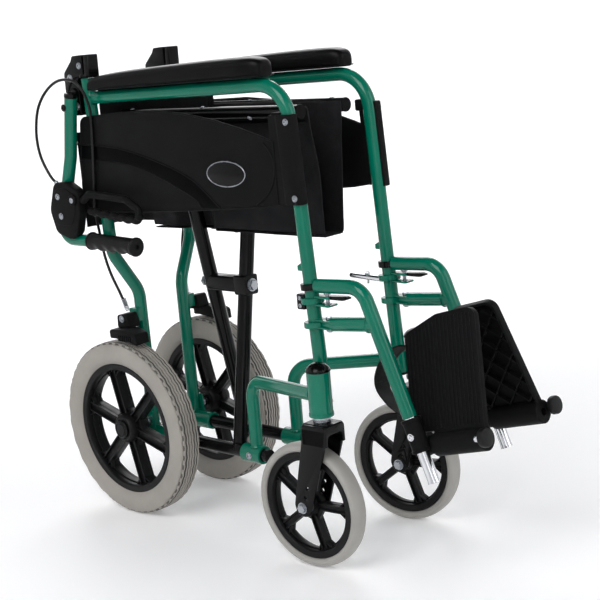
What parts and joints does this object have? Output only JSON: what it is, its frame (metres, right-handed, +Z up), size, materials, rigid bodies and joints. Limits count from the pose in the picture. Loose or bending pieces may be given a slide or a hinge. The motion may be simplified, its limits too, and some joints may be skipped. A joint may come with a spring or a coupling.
{
  "type": "transport wheelchair",
  "caption": "Folded transport wheelchair: tubular side frames on an X brace, small rear wheels, casters, swing-away footrests and a fold-down back.",
  "frame": {"origin": "on the floor, under the middle of the folded chair's box", "axes": "+X is the occupant's left, +Y the rear, +Z up; the chair is folded, its footplates flipped up and its upper back turned down"},
  "size_m": [0.2909, 0.9262, 0.808],
  "materials": {
    "frame_paint": "gloss",
    "black_paint": "satin",
    "moulded_plastic": "fine grain",
    "rim_plastic": "satin",
    "tyre_grey": "matt",
    "caster_grey": "satin",
    "pad_vinyl": "soft sheen",
    "nylon": "woven",
    "webbing": "woven",
    "grip_rubber": "matt",
    "cable_sleeve": "smooth",
    "zinc": "plated",
    "chrome": "polished"
  },
  "bodies": {
    "frame_right": {"arm_frame_right": "frame_paint", "rear_post_right": "frame_paint", "front_leg_right": "frame_paint", "skirt_guard_right": "moulded_plastic", "armrest_pad_right": "pad_vinyl", "hinge_bracket_right": "black_paint", "rear_axle_right": "zinc", "brake_cable_right": "cable_sleeve"},
    "rear_wheel_right": {"rear_tyre_right": "tyre_grey", "rear_rim_right": "rim_plastic"},
    "caster_right": {"caster_fork_right": "black_paint", "caster_axle_right": "zinc"},
    "caster_wheel_right": {"caster_tyre_right": "caster_grey", "caster_rim_right": "rim_plastic"},
    "back_right": {"back_tube_right": "frame_paint", "push_grip_right": "grip_rubber", "brake_housing_right": "moulded_plastic"},
    "lever_right": {"brake_lever_right": "moulded_plastic"},
    "shoe_right": {"brake_shoe_right": "moulded_plastic"},
    "footrest_right": {"hanger_right": "frame_paint", "foot_stem_right": "chrome"},
    "latch_right": {"hanger_latch_right": "moulded_plastic"},
    "foot_clamp_right": {"foot_hinge_right": "moulded_plastic"},
    "plate_right": {"footplate_right": "moulded_plastic", "heel_strap_right": "webbing"},
    "back_cloth_lower_right": {"back_lower_right": "nylon"},
    "back_cloth_upper_right": {"back_upper_right": "nylon"},
    "frame_left": {"arm_frame_left": "frame_paint", "rear_post_left": "frame_paint", "front_leg_left": "frame_paint", "skirt_guard_left": "moulded_plastic", "armrest_pad_left": "pad_vinyl", "hinge_bracket_left": "black_paint", "rear_axle_left": "zinc", "brake_cable_left": "cable_sleeve"},
    "rear_wheel_left": {"rear_tyre_left": "tyre_grey", "rear_rim_left": "rim_plastic"},
    "caster_left": {"caster_fork_left": "black_paint", "caster_axle_left": "zinc"},
    "caster_wheel_left": {"caster_tyre_left": "caster_grey", "caster_rim_left": "rim_plastic"},
    "back_left": {"back_tube_left": "frame_paint", "push_grip_left": "grip_rubber", "brake_housing_left": "moulded_plastic"},
    "lever_left": {"brake_lever_left": "moulded_plastic"},
    "shoe_left": {"brake_shoe_left": "moulded_plastic"},
    "footrest_left": {"hanger_left": "frame_paint", "foot_stem_left": "chrome"},
    "latch_left": {"hanger_latch_left": "moulded_plastic"},
    "foot_clamp_left": {"foot_hinge_left": "moulded_plastic"},
    "plate_left": {"footplate_left": "moulded_plastic", "heel_strap_left": "webbing"},
    "back_cloth_lower_left": {"back_lower_left": "nylon"},
    "back_cloth_upper_left": {"back_upper_left": "nylon"},
    "brace_right": {"cross_member_right": "black_paint", "pivot_bolt": "zinc"},
    "brace_left": {"cross_member_left": "black_paint"},
    "seat_cloth_left": {"seat_left": "nylon"},
    "seat_cloth_right": {"seat_right": "nylon"},
    "seat_cloth_centre": {"seat_centre": "nylon"}
  },
  "joints": [
    {"name": "fold", "type": "hinge", "parent": "frame_right", "child": "brace_right", "pos_m": [-0.04815, 0.20705, 0.131], "axis": [0, 1, 0], "range_deg": [0, 38], "deforming": ["seat_left", "seat_centre", "seat_right", "back_lower_left", "back_lower_right", "back_upper_left", "back_upper_right"]},
    {"name": "brace_pivot", "type": "hinge", "parent": "brace_right", "child": "brace_left", "pos_m": [0.00185, 0.12705, 0.40853], "axis": [0, 1, 0], "range_deg": [-76, 0]},
    {"name": "left_collar", "type": "hinge", "parent": "brace_left", "child": "frame_left", "pos_m": [0.05185, 0.20705, 0.131], "axis": [0, 1, 0], "range_deg": [0, 38]},
    {"name": "seat_left_turn", "type": "hinge", "parent": "brace_right", "child": "seat_cloth_left", "pos_m": [0.05433, 0.07705, 0.69984], "axis": [0, 1, 0], "range_deg": [0, 41]},
    {"name": "seat_right_turn", "type": "hinge", "parent": "brace_left", "child": "seat_cloth_right", "pos_m": [-0.05063, 0.07705, 0.69984], "axis": [0, 1, 0], "range_deg": [-41, 0]},
    {"name": "seat_centre_turn", "type": "hinge", "parent": "seat_cloth_left", "child": "seat_cloth_centre", "pos_m": [0.02385, 0.07705, 0.504], "axis": [0, 1, 0], "range_deg": [-79, 0]},
    {"name": "rear_wheel_spin_right", "type": "hinge", "parent": "frame_right", "child": "rear_wheel_right", "pos_m": [-0.09815, 0.30705, 0.156], "axis": [1, 0, 0], "continuous": true},
    {"name": "caster_swivel_right", "type": "hinge", "parent": "frame_right", "child": "caster_right", "pos_m": [-0.11615, -0.17395, 0.25], "axis": [0, 0, 1], "continuous": true},
    {"name": "caster_spin_right", "type": "hinge", "parent": "caster_right", "child": "caster_wheel_right", "pos_m": [-0.1172, -0.13897, 0.1], "axis": [0.9996, 0.03, 0], "continuous": true},
    {"name": "back_fold_right", "type": "hinge", "parent": "frame_right", "child": "back_right", "pos_m": [-0.09815, 0.34205, 0.745], "axis": [1, 0, 0], "range_deg": [0, 168], "deforming": ["brake_cable_right", "brake_cable_left"]},
    {"name": "brake_lever_pull_right", "type": "hinge", "parent": "back_right", "child": "lever_right", "pos_m": [-0.12715, 0.34705, 0.565], "axis": [1, 0, 0], "range_deg": [0, 8], "stiffness_Nm_per_rad": 2, "springref_deg": -5.73},
    {"name": "brake_shoe_turn_right", "type": "hinge", "parent": "frame_right", "child": "shoe_right", "pos_m": [-0.07815, 0.30705, 0.352], "axis": [1, 0, 0], "range_deg": [0, 4.8]},
    {"name": "footrest_swing_right", "type": "hinge", "parent": "frame_right", "child": "footrest_right", "pos_m": [-0.09015, -0.15215, 0.4], "axis": [0, -0.0569, -0.9984], "range_deg": [0, 90]},
    {"name": "latch_press_right", "type": "hinge", "parent": "footrest_right", "child": "latch_right", "pos_m": [-0.09015, -0.19095, 0.427], "axis": [1, 0, 0], "range_deg": [0, 12], "stiffness_Nm_per_rad": 0.2, "springref_deg": -11.46},
    {"name": "foot_length_right", "type": "slide", "parent": "footrest_right", "child": "foot_clamp_right", "axis": [0, -0.3665, -0.9304], "range_m": [0, 0.04]},
    {"name": "plate_flip_right", "type": "hinge", "parent": "foot_clamp_right", "child": "plate_right", "pos_m": [-0.07015, -0.35695, 0.217], "axis": [0, 0.9703, -0.2419], "range_deg": [0, 74.5], "deforming": ["heel_strap_right"]},
    {"name": "back_lower_turn_right", "type": "hinge", "parent": "frame_right", "child": "back_cloth_lower_right", "pos_m": [-0.01965, 0.30505, 0.66], "axis": [0, 0, 1], "range_deg": [0, 84]},
    {"name": "back_upper_turn_right", "type": "hinge", "parent": "back_right", "child": "back_cloth_upper_right", "pos_m": [-0.01515, 0.34705, 0.61], "axis": [0, 0, 1], "range_deg": [0, 84.5]},
    {"name": "rear_wheel_spin_left", "type": "hinge", "parent": "frame_left", "child": "rear_wheel_left", "pos_m": [0.10185, 0.30705, 0.156], "axis": [1, 0, 0], "continuous": true},
    {"name": "caster_swivel_left", "type": "hinge", "parent": "frame_left", "child": "caster_left", "pos_m": [0.11985, -0.17395, 0.25], "axis": [0, 0, 1], "continuous": true},
    {"name": "caster_spin_left", "type": "hinge", "parent": "caster_left", "child": "caster_wheel_left", "pos_m": [0.11601, -0.13916, 0.1], "axis": [0.994, 0.1098, 0], "continuous": true},
    {"name": "back_fold_left", "type": "hinge", "parent": "frame_left", "child": "back_left", "pos_m": [0.10185, 0.34205, 0.745], "axis": [1, 0, 0], "range_deg": [0, 168]},
    {"name": "brake_lever_pull_left", "type": "hinge", "parent": "back_left", "child": "lever_left", "pos_m": [0.13085, 0.34705, 0.565], "axis": [1, 0, 0], "range_deg": [0, 8], "stiffness_Nm_per_rad": 2, "springref_deg": -5.73},
    {"name": "brake_shoe_turn_left", "type": "hinge", "parent": "frame_left", "child": "shoe_left", "pos_m": [0.08185, 0.30705, 0.352], "axis": [1, 0, 0], "range_deg": [0, 4.8]},
    {"name": "footrest_swing_left", "type": "hinge", "parent": "frame_left", "child": "footrest_left", "pos_m": [0.09385, -0.15215, 0.4], "axis": [0, 0.0569, 0.9984], "range_deg": [0, 90]},
    {"name": "latch_press_left", "type": "hinge", "parent": "footrest_left", "child": "latch_left", "pos_m": [0.09385, -0.19095, 0.427], "axis": [1, 0, 0], "range_deg": [0, 12], "stiffness_Nm_per_rad": 0.2, "springref_deg": -11.46},
    {"name": "foot_length_left", "type": "slide", "parent": "footrest_left", "child": "foot_clamp_left", "axis": [0, -0.3665, -0.9304], "range_m": [0, 0.04]},
    {"name": "plate_flip_left", "type": "hinge", "parent": "foot_clamp_left", "child": "plate_left", "pos_m": [0.07385, -0.35695, 0.217], "axis": [0, -0.9703, 0.2419], "range_deg": [0, 74.5], "deforming": ["heel_strap_left"]},
    {"name": "back_lower_turn_left", "type": "hinge", "parent": "frame_left", "child": "back_cloth_lower_left", "pos_m": [0.02335, 0.30505, 0.66], "axis": [0, 0, 1], "range_deg": [-84, 0]},
    {"name": "back_upper_turn_left", "type": "hinge", "parent": "back_left", "child": "back_cloth_upper_left", "pos_m": [0.01885, 0.34705, 0.61], "axis": [0, 0, 1], "range_deg": [-84.5, 0]}
  ],
  "couplings": [
    {"joint": "brace_pivot", "follows": "fold", "ratio": -2},
    {"joint": "left_collar", "follows": "fold", "ratio": 1},
    {"joint": "seat_left_turn", "follows": "fold", "ratio": 1.0789},
    {"joint": "seat_right_turn", "follows": "fold", "ratio": -1.0789},
    {"joint": "seat_centre_turn", "follows": "fold", "ratio": -2.0789},
    {"joint": "brake_shoe_turn_right", "follows": "brake_lever_pull_right", "ratio": 0.6},
    {"joint": "plate_flip_right", "follows": "fold", "ratio": 1.9605},
    {"joint": "back_lower_turn_right", "follows": "fold", "ratio": 2.2105},
    {"joint": "back_upper_turn_right", "follows": "fold", "ratio": 2.2237},
    {"joint": "back_fold_left", "follows": "back_fold_right", "ratio": 1},
    {"joint": "brake_shoe_turn_left", "follows": "brake_lever_pull_left", "ratio": 0.6},
    {"joint": "plate_flip_left", "follows": "fold", "ratio": 1.9605},
    {"joint": "back_lower_turn_left", "follows": "fold", "ratio": -2.2105},
    {"joint": "back_upper_turn_left", "follows": "fold", "ratio": -2.2237}
  ]
}
